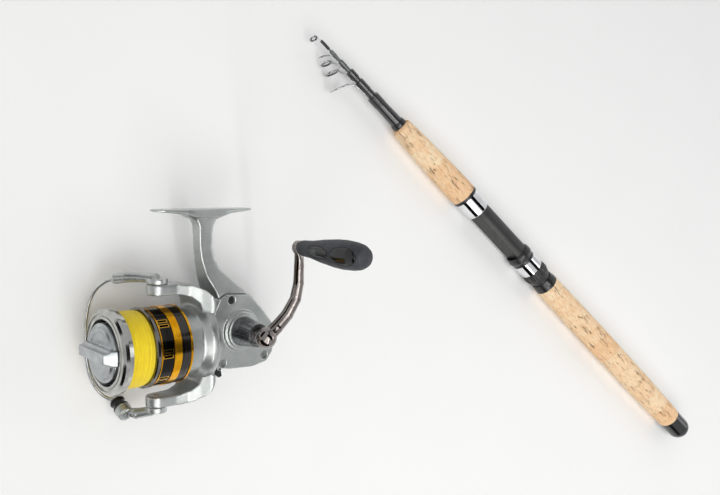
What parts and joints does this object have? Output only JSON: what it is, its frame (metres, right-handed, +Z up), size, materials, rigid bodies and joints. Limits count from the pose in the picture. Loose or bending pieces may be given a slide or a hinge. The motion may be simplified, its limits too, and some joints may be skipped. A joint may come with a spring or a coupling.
{
  "type": "fishing rod and reel",
  "caption": "Closed telescopic spinning rod with cork grips and a screw-down reel seat, with a metal spinning reel lying beside it, its bail closed and yellow line on the spool.",
  "frame": {"origin": "middle of the reel seat, on the rod's axis", "axes": "+X along the rod to the tip, +Y across to the side where the guides, the seat's flat and the reel are, +Z up from the surface that both lie on"},
  "size_m": [0.4853, 0.2916, 0.1307],
  "materials": {
    "blank": "clear-coated dark glass fibre",
    "thread_wrap": "varnished black thread",
    "butt_rubber": "polished black",
    "cork": "natural cork, sanded",
    "black_collar": "black, polished",
    "seat_black": "satin black",
    "hood_chrome": "bright chrome plate",
    "hood_black": "black, moulded",
    "section_black": "clear-coated black",
    "section_grey": "unpainted grey glass fibre",
    "guide_steel": "bent stainless wire",
    "guide_ceramic": "black ceramic",
    "reel_silver": "metallic silver-grey lacquer",
    "screw_steel": "dark zinc",
    "bearing_steel": "ground steel",
    "lever_black": "moulded",
    "gear_zinc": "die-cast zinc alloy",
    "drive_grey": "dark grey metallic",
    "crank_nickel": "black nickel plate",
    "knob_grey": "charcoal, soft matt",
    "knob_black": "polished black inserts",
    "rotor_silver": "metallic silver-grey lacquer",
    "brass_part": "machined",
    "bail_silver": "metallic silver-grey lacquer",
    "wire_steel": "polished stainless wire",
    "roller_black": "hard black coating",
    "slider_zinc": "die-cast zinc alloy",
    "spool_gunmetal": "gunmetal anodised, polished",
    "spool_gold": "gold anodised, bright cut",
    "line_yellow": "wound yellow nylon line",
    "drag_silver": "bright silver",
    "drag_steel": "stamped steel"
  },
  "bodies": {
    "handle": {"base_blank": "blank", "base_wrap": "thread_wrap", "butt_cap": "butt_rubber", "rear_grip": "cork", "rear_collar": "black_collar", "seat_barrel": "seat_black", "front_hood": "hood_chrome", "rear_check": "black_collar", "foregrip": "cork", "front_check": "black_collar", "reel_frame": "reel_silver", "side_cover": "reel_silver", "body_screws": "screw_steel", "drive_bearings": "bearing_steel", "pinion_bearing": "bearing_steel", "roller_clutch": "bearing_steel"},
    "hood": {"hood_lip": "hood_black", "hood_ring": "hood_chrome"},
    "nut": {"seat_nut": "hood_black"},
    "second_section": {"section_2": "section_black", "guide_5_frame": "guide_steel", "guide_5_ring": "guide_ceramic"},
    "third_section": {"section_3": "section_black", "guide_4_frame": "guide_steel", "guide_4_ring": "guide_ceramic"},
    "fourth_section": {"section_4": "section_grey", "guide_3_frame": "guide_steel", "guide_3_ring": "guide_ceramic"},
    "fifth_section": {"section_5": "section_grey", "guide_2_frame": "guide_steel", "guide_2_ring": "guide_ceramic"},
    "tip": {"tip_section": "section_black", "tip_top_frame": "guide_steel", "tip_top_ring": "guide_ceramic"},
    "reverse_switch": {"anti_reverse_lever": "lever_black"},
    "crank": {"drive_gear": "gear_zinc", "drive_sleeve": "drive_grey", "crank_arm": "crank_nickel", "knob_spindle": "bearing_steel"},
    "knob": {"handle_knob": "knob_grey", "knob_panels": "knob_black"},
    "rotor": {"rotor": "rotor_silver", "rotor_nut": "brass_part", "pinion": "brass_part"},
    "bail": {"bail_arm": "bail_silver", "bail_wire": "wire_steel", "roller_arm": "bail_silver", "roller_screw": "screw_steel"},
    "roller": {"line_roller": "roller_black"},
    "shaft": {"main_shaft": "bearing_steel", "oscillation_slider": "slider_zinc", "drag_washers": "drag_steel"},
    "worm": {"worm_shaft": "brass_part"},
    "spool": {"spool": "spool_gunmetal", "spool_bands": "spool_gold", "wound_line": "line_yellow"},
    "drag": {"drag_knob": "drag_silver", "drag_spring": "drag_steel"}
  },
  "joints": [
    {"name": "second_section_slide", "type": "slide", "parent": "handle", "child": "second_section", "axis": [1, 0, 0], "range_m": [0, 0.34]},
    {"name": "third_section_slide", "type": "slide", "parent": "second_section", "child": "third_section", "axis": [1, 0, 0], "range_m": [0, 0.34]},
    {"name": "fourth_section_slide", "type": "slide", "parent": "third_section", "child": "fourth_section", "axis": [1, 0, 0], "range_m": [0, 0.34]},
    {"name": "fifth_section_slide", "type": "slide", "parent": "fourth_section", "child": "fifth_section", "axis": [1, 0, 0], "range_m": [0, 0.34]},
    {"name": "tip_slide", "type": "slide", "parent": "fifth_section", "child": "tip", "axis": [1, 0, 0], "range_m": [0, 0.34]},
    {"name": "hood_slide", "type": "slide", "parent": "handle", "child": "hood", "axis": [1, 0, 0], "range_m": [-0.0015, 0.009]},
    {"name": "nut_turn", "type": "hinge", "parent": "hood", "child": "nut", "pos_m": [-0.05, 0, 0], "axis": [1, 0, 0], "range_deg": [-270, 1620]},
    {"name": "handle_turn", "type": "hinge", "parent": "handle", "child": "crank", "pos_m": [0.12091, 0.19547, 0.02558], "axis": [-0.2855, -0.0642, 0.9562], "continuous": true},
    {"name": "knob_spin", "type": "hinge", "parent": "crank", "child": "knob", "pos_m": [0.1296, 0.14079, 0.09143], "axis": [-0.2855, -0.0642, 0.9562], "continuous": true},
    {"name": "rotor_spin", "type": "hinge", "parent": "handle", "child": "rotor", "pos_m": [0.13, 0.208, 0.0124], "axis": [0.6846, 0.6846, 0.2504], "continuous": true},
    {"name": "worm_spin", "type": "hinge", "parent": "handle", "child": "worm", "pos_m": [0.12416, 0.21432, 0.01108], "axis": [0.6846, 0.6846, 0.2504], "continuous": true},
    {"name": "bail_flip", "type": "hinge", "parent": "rotor", "child": "bail", "pos_m": [0.15738, 0.23538, 0.02242], "axis": [0.6707, -0.7261, 0.1515], "range_deg": [0, 102]},
    {"name": "line_roller_spin", "type": "hinge", "parent": "bail", "child": "roller", "pos_m": [0.14594, 0.2744, -0.00134], "axis": [-0.5489, 0.2294, 0.8038], "continuous": true},
    {"name": "spool_stroke", "type": "slide", "parent": "handle", "child": "shaft", "axis": [0.6846, 0.6846, 0.2504], "range_m": [-0.009, 0.002]},
    {"name": "spool_spin", "type": "hinge", "parent": "shaft", "child": "spool", "pos_m": [0.17108, 0.24907, 0.02742], "axis": [0.6846, 0.6846, 0.2504], "continuous": true},
    {"name": "drag_knob_turn", "type": "hinge", "parent": "shaft", "child": "drag", "pos_m": [0.18134, 0.25934, 0.03118], "axis": [0.6846, 0.6846, 0.2504], "range_deg": [-540, 180]},
    {"name": "reverse_switch_turn", "type": "hinge", "parent": "handle", "child": "reverse_switch", "pos_m": [0.11433, 0.22069, 0.00857], "axis": [-0.2855, -0.0642, 0.9562], "range_deg": [0, 25]}
  ],
  "couplings": [
    {"joint": "nut_turn", "follows": "hood_slide", "rad_per_m": 3141.6},
    {"joint": "rotor_spin", "follows": "handle_turn", "ratio": 4.5714},
    {"joint": "worm_spin", "follows": "handle_turn", "ratio": -2.6667}
  ]
}
